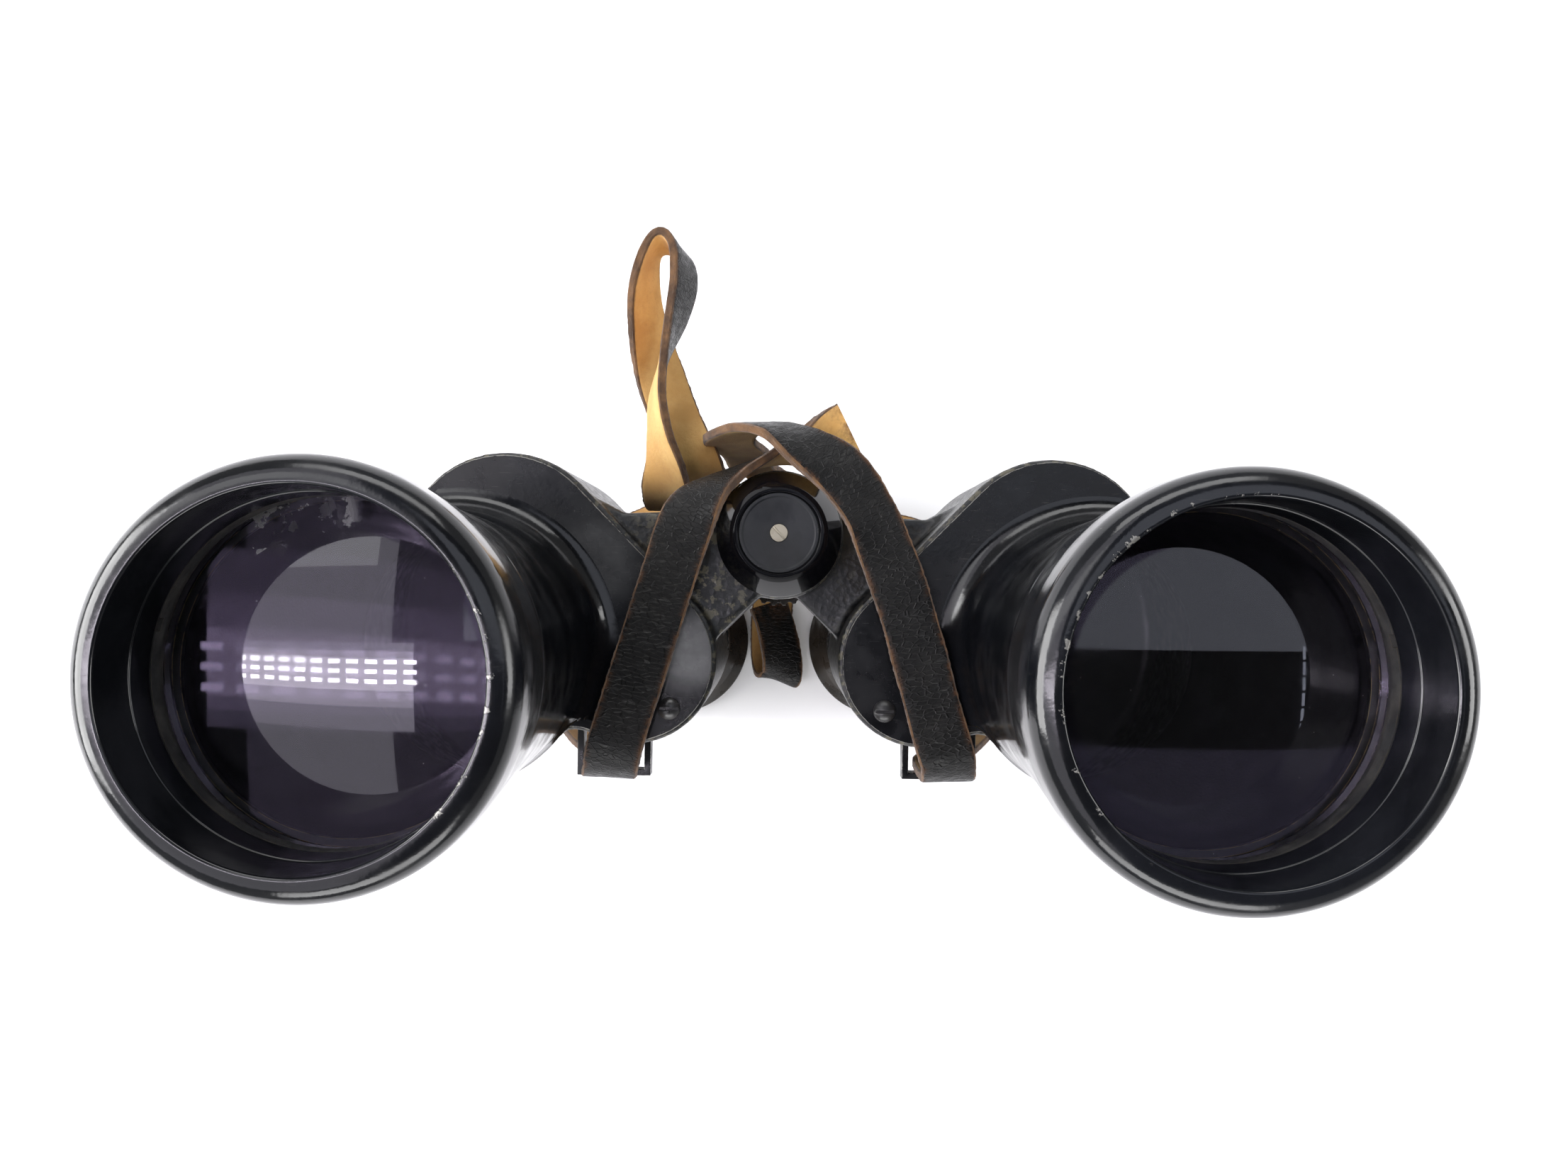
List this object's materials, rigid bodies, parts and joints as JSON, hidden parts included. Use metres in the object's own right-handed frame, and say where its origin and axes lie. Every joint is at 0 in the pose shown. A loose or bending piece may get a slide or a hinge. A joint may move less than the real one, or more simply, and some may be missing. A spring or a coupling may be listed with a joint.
{
  "type": "binoculars",
  "caption": "Prism binoculars with offset barrels on a folding hinge, a centre focus wheel, an adjustable right eyepiece and a leather neck strap.",
  "frame": {"origin": "on the surface it stands on, under the middle of the object's box", "axes": "+Z along the optical axes towards the objectives, +X to the right half as seen from the objectives with +Y up, +Y towards the hinge"},
  "size_m": [0.1864, 0.1171, 0.178],
  "materials": {
    "housing_enamel": "crinkled black enamel, worn at the arches",
    "cover_enamel": "satin black enamel with bright worn edges",
    "gloss_enamel": "gloss black enamel, chipped at the rim",
    "screw_steel": "blackened steel with bright slots",
    "prism_glass": "polished faces",
    "spring_steel": "rolled",
    "coated_glass": "violet single coating",
    "blackened_brass": "blackened",
    "arm_enamel": "satin black enamel",
    "bright_brass": "turned",
    "clear_glass": "polished",
    "dull_black": "matt black",
    "bakelite": "moulded, satin from handling",
    "axle_steel": "ground",
    "strap_leather": "dark grain face, tan flesh face"
  },
  "bodies": {
    "left_half": {"left_prism_housing": "housing_enamel", "left_front_cover": "cover_enamel", "left_rear_cover": "cover_enamel", "left_cover_screws": "screw_steel", "left_front_prism": "prism_glass", "left_rear_prism": "prism_glass", "left_prism_clips": "spring_steel", "left_barrel": "gloss_enamel", "left_hood": "gloss_enamel", "left_lens_cell": "blackened_brass", "left_objective_lens": "coated_glass", "left_retaining_ring": "blackened_brass", "left_strap_lug": "arm_enamel", "left_eyepiece_sleeve": "blackened_brass", "wheel_washer": "spring_steel", "hinge_axle": "axle_steel", "hinge_nut": "blackened_brass", "hinge_cap": "gloss_enamel", "hinge_cap_disc": "bakelite", "hinge_cap_screw": "bright_brass", "strap_left": "strap_leather", "strap_loop": "strap_leather", "strap_crest": "strap_leather"},
    "right_half": {"right_prism_housing": "housing_enamel", "right_front_cover": "cover_enamel", "right_rear_cover": "cover_enamel", "right_cover_screws": "screw_steel", "right_front_prism": "prism_glass", "right_rear_prism": "prism_glass", "right_prism_clips": "spring_steel", "right_barrel": "gloss_enamel", "right_hood": "gloss_enamel", "right_lens_cell": "blackened_brass", "right_objective_lens": "coated_glass", "right_retaining_ring": "blackened_brass", "right_strap_lug": "arm_enamel", "right_eyepiece_sleeve": "blackened_brass", "strap_right": "strap_leather"},
    "focus_wheel": {"focus_wheel": "bakelite"},
    "left_eyepiece": {"left_bridge_arm": "arm_enamel", "focus_rod": "bright_brass", "rod_end_screw": "bright_brass", "left_carrier_tube": "bright_brass", "left_ocular_tube": "bright_brass", "left_eye_lens": "clear_glass", "left_field_lens": "clear_glass", "left_field_stop": "dull_black", "left_eyecup": "bakelite", "left_collar": "bakelite"},
    "right_eyepiece": {"right_bridge_arm": "arm_enamel", "right_carrier_tube": "bright_brass"},
    "diopter_ring": {"diopter_ring": "bakelite"},
    "right_ocular": {"right_ocular_tube": "bright_brass", "right_eye_lens": "clear_glass", "right_field_lens": "clear_glass", "right_field_stop": "dull_black", "right_eyecup": "bakelite"}
  },
  "joints": [
    {"name": "eye_spacing_hinge", "type": "hinge", "parent": "left_half", "child": "right_half", "pos_m": [0, 0.019, 0.07], "axis": [0, 0, 1], "range_deg": [-4, 40]},
    {"name": "focus_slide", "type": "slide", "parent": "left_half", "child": "left_eyepiece", "axis": [0, 0, 1], "range_m": [0, 0.006]},
    {"name": "focus_wheel_turn", "type": "hinge", "parent": "left_half", "child": "focus_wheel", "pos_m": [0, 0.019, 0.035], "axis": [0, 0, 1], "range_deg": [0, 360]},
    {"name": "right_arm_turn", "type": "hinge", "parent": "left_eyepiece", "child": "right_eyepiece", "pos_m": [0, 0.019, 0.0147], "axis": [0, 0, 1], "range_deg": [-4, 40]},
    {"name": "dioptre_slide", "type": "slide", "parent": "right_eyepiece", "child": "right_ocular", "axis": [0, 0, 1], "range_m": [-0.001, 0.001]},
    {"name": "dioptre_turn", "type": "hinge", "parent": "right_eyepiece", "child": "diopter_ring", "pos_m": [0.029, -0.0063, 0.011], "axis": [0, 0, 1], "range_deg": [-120, 120]}
  ],
  "couplings": [
    {"joint": "focus_wheel_turn", "follows": "focus_slide", "rad_per_m": 1047.1},
    {"joint": "right_arm_turn", "follows": "eye_spacing_hinge", "ratio": 0.9999},
    {"joint": "dioptre_turn", "follows": "dioptre_slide", "rad_per_m": 2094.2}
  ]
}
